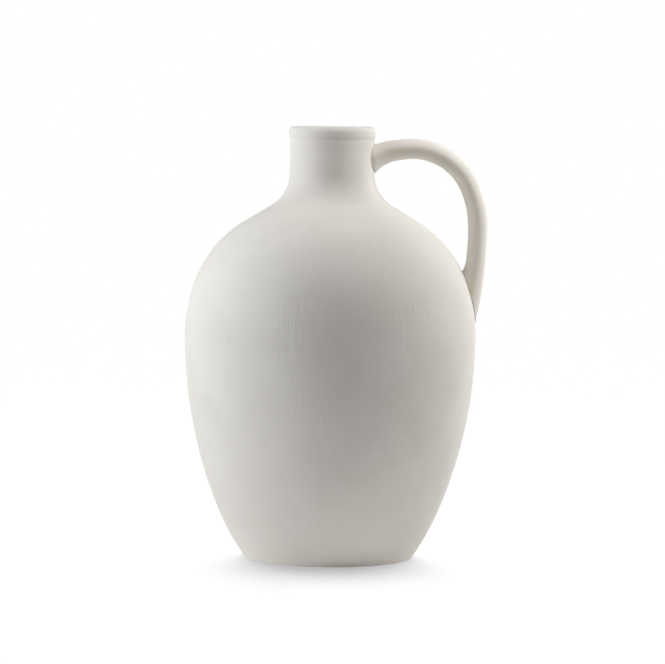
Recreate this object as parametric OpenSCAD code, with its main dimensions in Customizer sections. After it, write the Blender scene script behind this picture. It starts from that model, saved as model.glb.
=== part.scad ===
// Ceramic jug with a round belly, a sloping shoulder, a short neck, a banded rim and one handle.
// The jug stands on z = 0 with its axis on Z, and the handle is on the +X side.
// Every section is a chain of arcs that meet tangent to one another.

/* [Body] */
// Diameter of the belly at its widest
belly_d = 216; // [196:1:236]
// Height of the widest point above the foot
belly_z = 165; // [150:1:180]
// Diameter of the foot, before its edge is rounded
foot_d = 125; // [110:1:140]
// How far the wall tucks in at the foot from the sweep of the belly
foot_tuck = 2.3; // [1:0.1:4]
// Height over which the wall tucks in
foot_tuck_h = 36; // [28:1:50]
// Rounding of the foot's edge
foot_edge_r = 1.6; // [1:0.1:4]
// Thickness of the wall
wall = 6; // [4.5:0.5:8]
// Thickness of the floor
floor_t = 8; // [6:0.5:12]
// Rounding inside, where the floor turns up into the wall
floor_fillet_r = 18; // [8:1:30]

/* [Shoulder] */
// Section radius of the belly above its widest point
upper_r = 118; // [100:1:125]
// Angle that the upper belly turns through before the shoulder begins
upper_turn = 19.5; // [18:0.5:38]
// Section radius of the shoulder
shoulder_r = 86.5; // [72:0.5:92]
// Slope of the shoulder under the neck, from level
shoulder_slope = 31.3; // [26:0.1:36]

/* [Neck] */
// Diameter at the foot of the neck
neck_d = 63.1; // [56:0.1:70]
// Lean of the neck towards its axis
neck_taper = 2.3; // [0.5:0.1:5]
// Length of the neck from the end of its hollow to the rim band
neck_h = 25.5; // [22:0.1:34]
// Radius of the hollow between the shoulder and the neck
neck_hollow_r = 27.6; // [22:0.1:34]
// Bore of the neck before it is glazed
neck_bore_d = 50; // [44:1:52]

/* [Rim] */
// Diameter of the band round the mouth
rim_d = 64.8; // [62:0.2:70]
// Height of the band
rim_h = 10.5; // [8:0.5:14]
// Rounding of the band's upper edge
rim_top_r = 3.4; // [1:0.1:3.5]
// Rounding of the band's lower edge
rim_under_r = 1.8; // [0.8:0.1:2.5]
// Rounding of the lip on the inside
lip_r = 2.2; // [1:0.1:3]

/* [Handle] */
// Diameter of the handle's round section
handle_d = 14; // [11:0.5:16]
// Drop from the lip to the top of the handle
handle_drop = 8.6; // [6:0.2:12]
// How far the handle stands out past the belly
handle_overhang = 6.7; // [4:0.1:12]
// Run of the handle's straight root, outwards from the foot of the neck
handle_root_run = 12; // [8:0.5:18]
// Rise of the handle as it leaves the neck
handle_rise = 20; // [14:0.5:26]
// Bend radius down the side of the handle, on its centre line
handle_side_r = 73; // [65:1:85]
// Angle that the side of the handle turns through
handle_side_turn = 24; // [18:1:30]
// Height above the widest point at which the handle's lower end feathers out
handle_tail_h = 11; // [6:1:16]
// How far the upper root flares out all round
handle_flare = 2.9; // [2:0.1:4]
// How much each length of the handle draws in from the one above it
handle_draw = 0.04; // [0.03:0.01:0.1]

/* [Slip and glaze] */
// Thickness of the slip that beds the handle
slip_t = 0.8; // [0.5:0.1:1.5]
// How far the slip is squeezed out round the handle
slip_bead = 0.6; // [0.3:0.1:1.2]
// Thickness of the glaze inside
glaze_t = 0.5; // [0.3:0.1:1.2]
// Drop from the lip to the edge of the glaze
glaze_drop = 4; // [3:0.5:8]

/* [Hidden] */
$fn = 180;

// How far neighbouring arcs are let out past one another, so that they cross where they meet
lap = 0.01;
// How far one band of a section runs up into the next
band_over = 0.05;

belly_r = belly_d / 2;
foot_r = foot_d / 2;
neck_r = neck_d / 2;
bore_r = neck_bore_d / 2;
rim_r = rim_d / 2;

// Unit vector at an angle in the section, whose points are [radius, height]
function dir(a) = [cos(a), sin(a)];
// Point on an arc
function on_arc(c, r, a) = c + r * dir(a);

// Sweep of the lower belly, from the widest point towards the foot
sweep_foot_r = foot_r + foot_tuck;
sweep_in = belly_r - sweep_foot_r;
sweep_r = (sweep_in * sweep_in + belly_z * belly_z) / (2 * sweep_in);
sweep_c = [belly_r - sweep_r, belly_z];
sweep_turn = asin((belly_z - foot_tuck_h) / sweep_r);

// Tuck at the foot, which leaves the sweep tangent and ends at the foot's diameter
tuck_start = on_arc(sweep_c, sweep_r, -sweep_turn);
tuck_chord = tuck_start - [foot_r, 0];
tuck_r = (tuck_chord * tuck_chord) / (2 * (dir(-sweep_turn) * tuck_chord));
tuck_c = tuck_start - tuck_r * dir(-sweep_turn);

// Rounding between the tuck and the flat of the foot
edge_in = tuck_r - foot_edge_r;
edge_c = [tuck_c.x + sqrt(edge_in * edge_in - pow(foot_edge_r - tuck_c.y, 2)), foot_edge_r];
edge_turn = atan2(tuck_c.y - edge_c.y, edge_c.x - tuck_c.x);

// Upper belly and shoulder
upper_c = [belly_r - upper_r, belly_z];
shoulder_c = on_arc(upper_c, upper_r - shoulder_r, upper_turn);
shoulder_turn = 90 - shoulder_slope;
shoulder_end = on_arc(shoulder_c, shoulder_r, shoulder_turn);

// Centre of the hollow that joins the shoulder's slope to an upright at a given radius.
// The slope lies in_wall below the outer face, and the upright leans in by lean.
function hollow_centre(x, r, in_wall, lean) =
    let (cx = x - lap + r * cos(lean))
    let (along = (shoulder_end - in_wall * dir(shoulder_turn)) * dir(shoulder_turn))
    [cx, (r + along - cx * cos(shoulder_turn)) / sin(shoulder_turn)];

hollow_c = hollow_centre(neck_r, neck_hollow_r, 0, neck_taper);
neck_z = hollow_c.y - neck_hollow_r * sin(neck_taper);
rim_z = neck_z + neck_h;
height = rim_z + rim_h;
function neck_radius(z) = neck_r - (z - neck_z) * tan(neck_taper);

// Inside of the wall
inner_hollow_r = neck_hollow_r + wall;
inner_hollow_c = hollow_centre(bore_r, inner_hollow_r, wall, 0);
floor_z = floor_t + floor_fillet_r;
floor_in = sweep_r - wall - floor_fillet_r;
floor_c = [sweep_c.x + sqrt(floor_in * floor_in - pow(belly_z - floor_z, 2)), floor_z];
floor_turn = atan2(belly_z - floor_z, floor_c.x - sweep_c.x);

// Centre line of the handle, in the plane y = 0: a straight root, the bend, the side and the drop
handle_r = handle_d / 2;
side_x = belly_r + handle_overhang - handle_r;
bend_span = side_x - handle_side_r * (1 - cos(handle_side_turn)) - neck_r - handle_root_run;
handle_bend_r = bend_span / (sin(handle_rise) + cos(handle_side_turn));
bend_top = height - handle_drop - handle_r;
side_z = bend_top - handle_bend_r - (handle_side_r - handle_bend_r) * sin(handle_side_turn);
side_c = [side_x - handle_side_r, side_z];
bend_c = on_arc(side_c, handle_side_r - handle_bend_r, handle_side_turn);
root_end = on_arc(bend_c, handle_bend_r, 90 + handle_rise);
root_z = root_end.y - (root_end.x - neck_r) * tan(handle_rise);
root_l = (root_end.x - neck_radius(root_z)) / cos(handle_rise);
root_buried_l = neck_r / 2;
tail_z = belly_z + handle_tail_h;
tail_x = upper_c.x + sqrt(upper_r * upper_r - handle_tail_h * handle_tail_h) - handle_r;
drop_in = side_x - tail_x;
drop_r = (drop_in * drop_in + pow(side_z - tail_z, 2)) / (2 * drop_in);
drop_c = [side_x - drop_r, side_z];
drop_turn = asin((side_z - belly_z) / drop_r);
// How far each length of the handle runs into the one above it
run_in = 1;

clay = [0.87, 0.86, 0.83];
slip = [0.80, 0.79, 0.75];
glaze = [0.93, 0.93, 0.91];

// Disc in the section
module disc(c, r) {
    translate(c) circle(r);
}

// Everything between two heights, running a little way up into the next band
module band(from, to) {
    translate([0, from]) square([belly_d, to - from + band_over]);
}

// Sweep of the lower belly from a height up to the widest point, at w outside the outer face
module sweep_region(w, from) {
    intersection() {
        band(from, belly_z);
        disc(sweep_c, sweep_r + w);
    }
}

// Corner that rolls from level ground into the disc of the wall above it, between two heights
module corner_region(c, r, from, to) {
    intersection() {
        band(from, to);
        union() {
            translate([0, from]) square([c.x, to - from + 2 * band_over]);
            disc(c, r);
        }
        children();
    }
}

// Section from the widest point to the top, at w outside the outer face.
// The hollow has its own centre and radius, and the upright above it leans in by lean.
module upper_region(w, c, r, lean, top) {
    upper_z = on_arc(upper_c, upper_r + w, upper_turn).y;
    slope_foot = on_arc(shoulder_c, shoulder_r + w + lap, shoulder_turn);
    slope_top = [0, slope_foot.y + slope_foot.x * tan(shoulder_slope)];
    hollow_foot = on_arc(c, r - lap, 180 + shoulder_turn);
    hollow_top = on_arc(c, r - lap, 180 + lean);
    upright_top = [hollow_top.x - (top - hollow_top.y) * tan(lean), top];
    slope = [[0, slope_foot.y], slope_foot, slope_top];
    over = [0, 2 * band_over];
    intersection() {
        band(belly_z, upper_z);
        disc(sweep_c, sweep_r + w);
        disc(upper_c, upper_r + w + lap);
    }
    intersection() {
        band(upper_z, slope_foot.y);
        disc(upper_c, upper_r + w + lap);
        disc(shoulder_c, shoulder_r + w + 2 * lap);
    }
    intersection() {
        band(slope_foot.y, hollow_foot.y);
        union() {
            disc(shoulder_c, shoulder_r + w + 2 * lap);
            polygon(slope);
        }
    }
    intersection() {
        band(hollow_foot.y, hollow_top.y);
        union() {
            polygon(slope);
            difference() {
                polygon([[0, hollow_foot.y], hollow_foot, c, hollow_top + over, [0, hollow_top.y] + over]);
                disc(c, r);
            }
        }
    }
    difference() {
        polygon([[0, hollow_top.y], hollow_top, upright_top, [0, top]]);
        disc(c, r);
    }
}

// Half section of the solid jug up to the rim, grown by g
module outer_section(g = 0) {
    edge_z = on_arc(tuck_c, tuck_r + g, -edge_turn).y;
    tuck_z = on_arc(sweep_c, sweep_r + g, -sweep_turn).y;
    corner_region(edge_c, foot_edge_r + g + 2 * lap, 0, edge_z)
        disc(tuck_c, tuck_r + g + lap);
    intersection() {
        band(edge_z, tuck_z);
        disc(tuck_c, tuck_r + g + lap);
        disc(sweep_c, sweep_r + g);
    }
    sweep_region(g, tuck_z);
    upper_region(g, hollow_c, neck_hollow_r - g, neck_taper, rim_z);
}

// Half section of the space inside the wall, up to a height, shrunk by g
module inner_section(top, g = 0) {
    in = -wall - g;
    corner_z = on_arc(floor_c, floor_fillet_r - g, -floor_turn).y;
    corner_region(floor_c, floor_fillet_r - g + lap, floor_t + g, corner_z)
        disc(sweep_c, sweep_r + in);
    sweep_region(in, corner_z);
    upper_region(in, inner_hollow_c, inner_hollow_r + g, 0, top);
}

// Half section of the jug with its rim, grown by g, that the handle is cut to
module seat_section(g) {
    outer_section(g);
    translate([0, rim_z - g]) square([rim_r + g, rim_h + handle_d]);
}

// What a rounding takes off the corner at p, whose inside lies towards [sx, sy]
module round_off(p, r, sx, sy) {
    difference() {
        translate(p) square(2 * r, center = true);
        translate(p + r * [sx, sy]) circle(r);
    }
}

// Straight root of the handle from its bend to inside the neck, flaring to the neck's face, grown by g
module root(g = 0) {
    flare_r = (root_l * root_l + handle_flare * handle_flare) / (2 * handle_flare);
    wide_r = handle_r + handle_flare + g;
    translate([root_end.x, 0, root_end.y])
        rotate([0, -90 - handle_rise, 0])
            rotate_extrude() {
                square([handle_r + g, root_l]);
                difference() {
                    square([wide_r, root_l + root_buried_l]);
                    disc([handle_r + g + flare_r, 0], flare_r + lap);
                }
            }
}

// Bent length of the handle on a centre-line arc, running into the length above it.
// It has drawn in a number of times since the root, and is grown by g.
module bent_bar(c, r, from, to, draws, g = 0) {
    run_in_turn = run_in / r * 180 / PI;
    translate([c.x, 0, c.y])
        rotate([90, 0, 0])
            rotate(from)
                rotate_extrude(angle = to - from + run_in_turn)
                    translate([r, 0]) circle(handle_r - draws * handle_draw + g);
}

// Lower length of the handle, which runs into the belly, grown by g
module drop(g = 0) {
    bent_bar(drop_c, drop_r, -drop_turn, 0, 3, g);
}

// Bed of slip on the jug's face, as wide as what is stuck down
module slip_bed() {
    color(slip)
        difference() {
            intersection() {
                children();
                rotate_extrude() outer_section(slip_t);
            }
            rotate_extrude() outer_section();
        }
}

// Floor, belly, shoulder and neck in one wall
module body() {
    color(clay)
        rotate_extrude()
            difference() {
                outer_section();
                inner_section(height);
            }
}

// Roll of clay that sits on the end of the neck
module rim_band() {
    color(clay)
        rotate_extrude()
            difference() {
                translate([bore_r, rim_z]) square([rim_r - bore_r, rim_h]);
                round_off([rim_r, height], rim_top_r, -1, -1);
                round_off([rim_r, rim_z], rim_under_r, -1, 1);
                round_off([bore_r, height], lip_r, 1, -1);
            }
}

// Bent bar from the neck to the belly, cut to lie on its slip
module handle() {
    color(clay)
        difference() {
            union() {
                root();
                bent_bar(bend_c, handle_bend_r, handle_side_turn, 90 + handle_rise, 1);
                bent_bar(side_c, handle_side_r, 0, handle_side_turn, 2);
                drop();
            }
            rotate_extrude() seat_section(slip_t);
        }
}

// Slip between the handle's root and the neck
module upper_handle_slip() {
    slip_bed() root(slip_bead);
}

// Slip between the handle's lower end and the belly
module lower_handle_slip() {
    slip_bed() drop(slip_bead);
}

// Glaze over the whole inside, up to just below the lip
module inner_glaze() {
    color(glaze)
        rotate_extrude()
            difference() {
                inner_section(height - glaze_drop);
                inner_section(height, glaze_t);
            }
}

body();
rim_band();
handle();
upper_handle_slip();
lower_handle_slip();
inner_glaze();
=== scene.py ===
"""Matte ceramic jug with one handle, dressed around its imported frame."""
import logging
import math
from dataclasses import dataclass, field
from enum import Enum

import bmesh
import bpy
from mathutils import Matrix, Vector, noise


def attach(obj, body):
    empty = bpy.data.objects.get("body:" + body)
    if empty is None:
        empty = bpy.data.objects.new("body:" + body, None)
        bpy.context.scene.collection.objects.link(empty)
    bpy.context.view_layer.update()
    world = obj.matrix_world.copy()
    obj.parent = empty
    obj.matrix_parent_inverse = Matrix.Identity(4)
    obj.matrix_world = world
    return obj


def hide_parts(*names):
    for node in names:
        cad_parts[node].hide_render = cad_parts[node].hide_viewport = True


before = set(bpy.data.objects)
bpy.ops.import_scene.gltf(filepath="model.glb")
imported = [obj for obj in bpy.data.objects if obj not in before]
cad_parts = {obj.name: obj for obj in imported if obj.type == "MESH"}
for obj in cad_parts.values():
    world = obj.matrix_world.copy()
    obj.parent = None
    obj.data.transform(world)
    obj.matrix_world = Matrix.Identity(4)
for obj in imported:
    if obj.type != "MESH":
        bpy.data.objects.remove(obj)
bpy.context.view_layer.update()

MM = 0.001
BODY = "root"
PICTURE_WIDTH = 665
WELD = 1e-6
SPECK = 1e-7
CREASE = 40.0
SOFT_CREASE = 60.0
BAR_PLACE = "bar"
DEPTHWISE = Vector((0.0, 1.0, 0.0))
WHITE = (1.0, 1.0, 1.0, 1.0)
FULL = (0.0, 1.0)
MIX_FIRST, MIX_SECOND, MIX_RESULT = 6, 7, 2
Socket = bpy.types.NodeSocket
Outputs = bpy.types.bpy_prop_collection
Material = bpy.types.Material
Tree = bpy.types.NodeTree
Piece = bpy.types.Object
Mesh = bmesh.types.BMesh
Vert = bmesh.types.BMVert
Value = Socket | float
Span = tuple[float, float]
Colour = tuple[float, float, float]

log = logging.getLogger("jug")


class Slot(Enum):
    """Material slots of the record."""

    CLAY = "clay"
    SLIP = "slip"
    GLAZE = "glaze"


class Joint(Enum):
    """The two places where the handle is stuck to the jug."""

    NECK = "upper_handle_slip"
    BELLY = "lower_handle_slip"


class Ease(Enum):
    """Ways to go from one end of a range to the other."""

    SMOOTH = "SMOOTHSTEP"
    STRAIGHT = "LINEAR"


def sine(angle: float) -> float:
    """Sine of an angle in degrees."""
    return math.sin(math.radians(angle))


def cosine(angle: float) -> float:
    """Cosine of an angle in degrees."""
    return math.cos(math.radians(angle))


def unit(angle: float) -> Vector:
    """Unit vector of radius and height, at an angle in degrees up from the horizontal."""
    return Vector((cosine(angle), sine(angle)))


def in_space(point: Vector) -> Vector:
    """Point of the section, in millimetres, as a place in the plane y = 0, in metres."""
    return Vector((point.x, 0.0, point.y)) * MM


def ripple(place: Vector, size: float) -> float:
    """Smooth unevenness from about -1 to 1 at a place in metres, with waves of a size in millimetres."""
    return noise.noise(place / (size * MM))


def smooth_step(value: float, low: float, high: float) -> float:
    """Goes smoothly from 0 where the value is low to 1 where it is high."""
    share = min(max((value - low) / (high - low), 0.0), 1.0)
    return share * share * (3.0 - 2.0 * share)


@dataclass(frozen=True)
class Arc:
    """Arc of the section: its centre and its radius, in millimetres."""

    centre: Vector
    radius: float

    def at(self, angle: float, out: float = 0.0) -> Vector:
        """Point at an angle in degrees, which may lie outside the arc."""
        return self.centre + (self.radius + out) * unit(angle)

    def right_side(self, height: float) -> float:
        """Radius from the jug's axis of the arc's right side at a height."""
        rise = height - self.centre.y
        return self.centre.x + math.sqrt(max(self.radius**2 - rise**2, 0.0))

    def left_side(self, height: float) -> float:
        """Radius from the jug's axis of the arc's left side at a height."""
        return 2.0 * self.centre.x - self.right_side(height)


@dataclass(frozen=True)
class JugSizes:
    """Sizes of the jug in millimetres, as its solids have them."""

    belly_r: float = 108.0
    belly_z: float = 165.0
    foot_r: float = 62.5
    foot_tuck: float = 2.3
    foot_tuck_h: float = 36.0
    foot_edge_r: float = 1.6
    wall: float = 6.0
    floor_t: float = 8.0
    floor_fillet_r: float = 18.0
    upper_r: float = 118.0
    upper_turn: float = 19.5
    shoulder_r: float = 86.5
    shoulder_slope: float = 31.3
    neck_r: float = 31.55
    neck_taper: float = 2.3
    neck_h: float = 25.5
    neck_hollow_r: float = 27.6
    bore_r: float = 25.0
    rim_r: float = 32.4
    rim_h: float = 10.5


class JugSection:
    """Half section of the jug: the arcs of its outside and its inside, each tangent to the next."""

    def __init__(self, sizes: JugSizes) -> None:
        """Works the arcs out from the sizes.

        Args:
            sizes: The jug's sizes.
        """
        self.sizes = s = sizes
        drawn_in = s.belly_r - s.foot_r - s.foot_tuck
        sweep_r = (drawn_in**2 + s.belly_z**2) / (2.0 * drawn_in)
        self.sweep = Arc(Vector((s.belly_r - sweep_r, s.belly_z)), sweep_r)
        self.sweep_turn = math.degrees(math.asin((s.belly_z - s.foot_tuck_h) / sweep_r))
        tuck_start = self.sweep.at(-self.sweep_turn)
        chord = tuck_start - Vector((s.foot_r, 0.0))
        tuck_r = chord.dot(chord) / (2.0 * unit(-self.sweep_turn).dot(chord))
        self.tuck = Arc(tuck_start - tuck_r * unit(-self.sweep_turn), tuck_r)
        edge_in = tuck_r - s.foot_edge_r
        edge_x = math.sqrt(edge_in**2 - (s.foot_edge_r - self.tuck.centre.y) ** 2)
        self.edge = Arc(Vector((self.tuck.centre.x + edge_x, s.foot_edge_r)), s.foot_edge_r)
        self.edge_turn = math.degrees(math.atan2(self.tuck.centre.y - s.foot_edge_r, edge_x))
        self.upper = Arc(Vector((s.belly_r - s.upper_r, s.belly_z)), s.upper_r)
        shoulder_c = self.upper.centre + (s.upper_r - s.shoulder_r) * unit(s.upper_turn)
        self.shoulder = Arc(shoulder_c, s.shoulder_r)
        self.shoulder_turn = 90.0 - s.shoulder_slope
        self.hollow = self._hollow(s.neck_r, s.neck_hollow_r, 0.0, s.neck_taper)
        self.inner_hollow = self._hollow(s.bore_r, s.neck_hollow_r + s.wall, s.wall, 0.0)
        self.neck_z = self.hollow.centre.y - s.neck_hollow_r * sine(s.neck_taper)
        self.rim_z = self.neck_z + s.neck_h
        self.height = self.rim_z + s.rim_h
        corner_z = s.floor_t + s.floor_fillet_r
        corner_in = sweep_r - s.wall - s.floor_fillet_r
        corner_x = math.sqrt(corner_in**2 - (s.belly_z - corner_z) ** 2)
        self.corner = Arc(Vector((self.sweep.centre.x + corner_x, corner_z)), s.floor_fillet_r)
        self.corner_turn = math.degrees(math.atan2(s.belly_z - corner_z, corner_x))

    def _hollow(self, x: float, r: float, inside: float, lean: float) -> Arc:
        """Hollow between the shoulder's slope and an upright.

        Args:
            x: Radius of the upright at its foot.
            r: Radius of the hollow.
            inside: How far the slope lies inside the outer face.
            lean: Lean of the upright towards the axis, in degrees.

        Returns:
            The hollow's arc.
        """
        across = unit(self.shoulder_turn)
        centre_x = x + r * cosine(lean)
        reach = self.shoulder.at(self.shoulder_turn, -inside).dot(across)
        return Arc(Vector((centre_x, (r + reach - centre_x * across.x) / across.y)), r)

    def neck_radius(self, height: float) -> float:
        """Radius of the neck's outside at a height."""
        lean = math.tan(math.radians(self.sizes.neck_taper))
        return self.sizes.neck_r - (height - self.neck_z) * lean

    def outer_radius(self, height: float) -> float:
        """Radius of the jug's outside at a height above the foot.

        Args:
            height: Height in millimetres.

        Returns:
            The radius in millimetres.
        """
        s = self.sizes
        slope_foot = self.shoulder.at(self.shoulder_turn)
        hollow_foot = self.hollow.at(180.0 + self.shoulder_turn)
        if height < s.foot_tuck_h:
            return self.tuck.right_side(height)
        if height < s.belly_z:
            return self.sweep.right_side(height)
        if height < self.upper.at(s.upper_turn).y:
            return self.upper.right_side(height)
        if height < slope_foot.y:
            return self.shoulder.right_side(height)
        if height < hollow_foot.y:
            return slope_foot.x - (height - slope_foot.y) / math.tan(math.radians(s.shoulder_slope))
        if height < self.neck_z:
            return self.hollow.left_side(height)
        return self.neck_radius(height)


@dataclass(frozen=True)
class InsideSteps:
    """How many edges each stretch of the inside is drawn with, from the bore down to the floor."""

    bore: int
    hollow: int
    slope: int
    shoulder: int
    upper: int
    sweep: int
    corner: int
    floor: int


class SectionPen:
    """Draws half a section in the plane y = 0 by leading one vertex along lines and arcs."""

    def __init__(self, start: Vector) -> None:
        """Sets the pen down on the first point of the section, in millimetres."""
        self.bm = bmesh.new()
        self.tip = self.bm.verts.new(in_space(start))

    def line(self, to: Vector, steps: int = 1) -> None:
        """Draws a straight line in equal steps.

        Args:
            to: Where the line ends.
            steps: How many edges it has.
        """
        begin = self.tip.co.copy()
        for step in range(1, steps + 1):
            made = bmesh.ops.extrude_vert_indiv(self.bm, verts=[self.tip])
            self.tip = made["verts"][0]
            self.tip.co = begin.lerp(in_space(to), step / steps)

    def arc(self, arc: Arc, turn: float, steps: int) -> None:
        """Draws an arc about the centre of one.

        Args:
            arc: The arc whose centre is turned about.
            turn: Degrees to turn, positive outwards and up.
            steps: How many edges it has.
        """
        made = bmesh.ops.spin(
            self.bm, geom=[self.tip], cent=in_space(arc.centre), axis=-DEPTHWISE,
            angle=math.radians(turn), steps=steps,
        )
        self.tip = next(g for g in made["geom_last"] if isinstance(g, Vert))

    def inside_down(self, part: JugSection, inside: float, steps: InsideSteps) -> None:
        """Draws the inside of the wall from the bore down to the middle of the floor.

        Args:
            part: The jug's section.
            inside: How far inside the wall's face the line runs.
            steps: How many edges each stretch has.
        """
        s = part.sizes
        self.line(part.inner_hollow.at(180.0, inside), steps.bore)
        self.arc(part.inner_hollow, part.shoulder_turn, steps.hollow)
        self.line(part.shoulder.at(part.shoulder_turn, -s.wall - inside), steps.slope)
        self.arc(part.shoulder, s.upper_turn - part.shoulder_turn, steps.shoulder)
        self.arc(part.upper, -s.upper_turn, steps.upper)
        self.arc(part.sweep, -part.corner_turn, steps.sweep)
        self.arc(part.corner, part.corner_turn - 90.0, steps.corner)
        self.line(Vector((0.0, s.floor_t + inside)), steps.floor)

    def inside_up(self, part: JugSection, inside: float, steps: InsideSteps, top_z: float) -> None:
        """Draws the inside of the wall from the middle of the floor up the bore.

        Args:
            part: The jug's section.
            inside: How far inside the wall's face the line runs.
            steps: How many edges each stretch has.
            top_z: Height at which the line ends.
        """
        s = part.sizes
        self.line(part.corner.at(-90.0, -inside), steps.floor)
        self.arc(part.corner, 90.0 - part.corner_turn, steps.corner)
        self.arc(part.sweep, part.corner_turn, steps.sweep)
        self.arc(part.upper, s.upper_turn, steps.upper)
        self.arc(part.shoulder, part.shoulder_turn - s.upper_turn, steps.shoulder)
        self.line(part.inner_hollow.at(180.0 + part.shoulder_turn, inside), steps.slope)
        self.arc(part.inner_hollow, -part.shoulder_turn, steps.hollow)
        self.line(Vector((s.bore_r - inside, top_z)), steps.bore)

    def revolve(self, steps: int) -> Mesh:
        """Turns the section about the jug's axis.

        Args:
            steps: How many faces go round.

        Returns:
            The closed shell.
        """
        bm = self.bm
        bmesh.ops.spin(
            bm, geom=bm.verts[:] + bm.edges[:], cent=(0.0, 0.0, 0.0), axis=(0.0, 0.0, 1.0),
            angle=math.tau, steps=steps, use_merge=True,
        )
        bmesh.ops.remove_doubles(bm, verts=bm.verts, dist=WELD)
        bmesh.ops.dissolve_degenerate(bm, edges=bm.edges, dist=SPECK)
        bmesh.ops.recalc_face_normals(bm, faces=bm.faces)
        return bm


def make_piece(name: str, bm: Mesh, sharp: float = CREASE) -> Piece:
    """Turns a finished bmesh into an object at the origin, shaded smooth.

    Args:
        name: Name of the piece.
        bm: Its mesh, which is freed.
        sharp: Angle in degrees from which an edge stays sharp.

    Returns:
        The new object.
    """
    mesh = bpy.data.meshes.new(name)
    for face in bm.faces:
        face.smooth = True
    bm.to_mesh(mesh)
    bm.free()
    mesh.set_sharp_from_angle(angle=math.radians(sharp))
    piece = bpy.data.objects.new(name, mesh)
    bpy.context.scene.collection.objects.link(piece)
    return piece


def place_piece(piece: Piece, node: str, finish: Material) -> None:
    """Gives a piece its finish and puts it in the place of a CAD node.

    Args:
        piece: The piece.
        node: The CAD node that it stands for.
        finish: Its material.
    """
    piece.data.materials.append(finish)
    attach(piece, BODY)
    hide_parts(node)
    log.info("%s: %d faces", piece.name, len(piece.data.polygons))


class NodeDesk:
    """Places and wires shader nodes in one tree."""

    def __init__(self, tree: Tree) -> None:
        """Takes the tree to work in."""
        self.tree = tree

    def add(self, kind: str, **settings: object) -> bpy.types.Node:
        """Places a node.

        Args:
            kind: Blender's name of the node type.
            settings: Properties of the node.

        Returns:
            The new node.
        """
        node = self.tree.nodes.new(kind)
        for name, value in settings.items():
            setattr(node, name, value)
        return node

    def feed(self, socket: Socket, value: Value | Vector | tuple[float, ...]) -> None:
        """Links an input to a socket, or sets it to a constant.

        Args:
            socket: The input.
            value: The socket or the constant.
        """
        if isinstance(value, Socket):
            self.tree.links.new(value, socket)
        else:
            socket.default_value = value

    def wire(self, node: bpy.types.Node, inputs: dict[str, Value | tuple[float, ...]]) -> Outputs:
        """Feeds inputs of a node by their names.

        Args:
            node: The node.
            inputs: What goes into each.

        Returns:
            The node's outputs.
        """
        for name, value in inputs.items():
            self.feed(node.inputs[name], value)
        return node.outputs

    def effect(self, group: Tree, inputs: dict[str, Value]) -> Outputs:
        """Places a shared effect, feeds it and gives its outputs."""
        return self.wire(self.add("ShaderNodeGroup", node_tree=group), inputs)

    def math(self, operation: str, *values: Value) -> Socket:
        """Sum of values, or another operation on them.

        Args:
            operation: Blender's name of the operation.
            values: What it works on.

        Returns:
            The result's socket.
        """
        node = self.add("ShaderNodeMath", operation=operation)
        for socket, value in zip(node.inputs, values):
            self.feed(socket, value)
        return node.outputs[0]

    def weighted(self, *terms: tuple[Socket, float]) -> Socket:
        """Sum of values, each times its weight.

        Args:
            terms: The values and their weights.

        Returns:
            The sum's socket.
        """
        total: Value = 0.0
        for value, weight in terms:
            total = self.math("MULTIPLY_ADD", value, weight, total)
        return total

    def vector(self, operation: str, *values: Socket | Vector | Colour) -> Socket:
        """Sum of vectors, or another operation on them.

        Args:
            operation: Blender's name of the operation.
            values: What it works on.

        Returns:
            The result's socket, a value for a length or a dot product and a vector otherwise.
        """
        node = self.add("ShaderNodeVectorMath", operation=operation)
        for socket, value in zip(node.inputs, values):
            self.feed(socket, value)
        return node.outputs["Value" if operation in ("LENGTH", "DOT_PRODUCT") else "Vector"]

    def stretch(self, vector: Socket, factor: Value) -> Socket:
        """Vector times a factor."""
        node = self.add("ShaderNodeVectorMath", operation="SCALE")
        return self.wire(node, {"Vector": vector, "Scale": factor})["Vector"]

    def parts(self, vector: Socket) -> Outputs:
        """X, Y and Z of a vector."""
        return self.wire(self.add("ShaderNodeSeparateXYZ"), {"Vector": vector})

    def span(
        self, value: Socket, given: Span, to: tuple[Value, Value] = FULL, ease: Ease = Ease.SMOOTH
    ) -> Socket:
        """Maps a range of a value to another range.

        Args:
            value: The value.
            given: Start and end of its range.
            to: What they become.
            ease: The way between them.

        Returns:
            The mapped value's socket.
        """
        node = self.add("ShaderNodeMapRange", interpolation_type=ease.value)
        for socket, number in zip(node.inputs, (value, *given, *to)):
            self.feed(socket, number)
        return node.outputs[0]

    def noise(self, vector: Socket, scale: Value, detail: float = 2.0, rough: float = 0.5) -> Socket:
        """Noise of 0.5 on average, by its waves per unit, its octaves and the weight of the finer ones."""
        inputs = {"Vector": vector, "Scale": scale, "Detail": detail, "Roughness": rough}
        return self.wire(self.add("ShaderNodeTexNoise"), inputs)["Fac"]

    def blend(self, share: Socket, a: Socket | Colour, b: Socket | Colour) -> Socket:
        """Blends two colours.

        Args:
            share: Share of the second colour.
            a: First colour.
            b: Second colour.

        Returns:
            The blended colour's socket.
        """
        node = self.add("ShaderNodeMix", data_type="RGBA")
        self.feed(node.inputs[0], share)
        for index, colour in ((MIX_FIRST, a), (MIX_SECOND, b)):
            self.feed(node.inputs[index], colour if isinstance(colour, Socket) else (*colour, 1.0))
        return node.outputs[MIX_RESULT]

    def bump(self, height: Socket, distance: float = 1.0) -> Socket:
        """Normal of a surface with a relief, whose height is times a distance in metres."""
        inputs = {"Strength": 1.0, "Distance": distance, "Height": height}
        return self.wire(self.add("ShaderNodeBump"), inputs)["Normal"]

    def seen_directly(self) -> Socket:
        """Value that is 1 for what the eye sees, directly, mirrored or through glass.

        Returns:
            The value's socket.
        """
        path = self.add("ShaderNodeLightPath").outputs
        mirrored = self.math("MAXIMUM", path["Is Glossy Ray"], path["Is Transmission Ray"])
        return self.math("MAXIMUM", path["Is Camera Ray"], mirrored)


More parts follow.
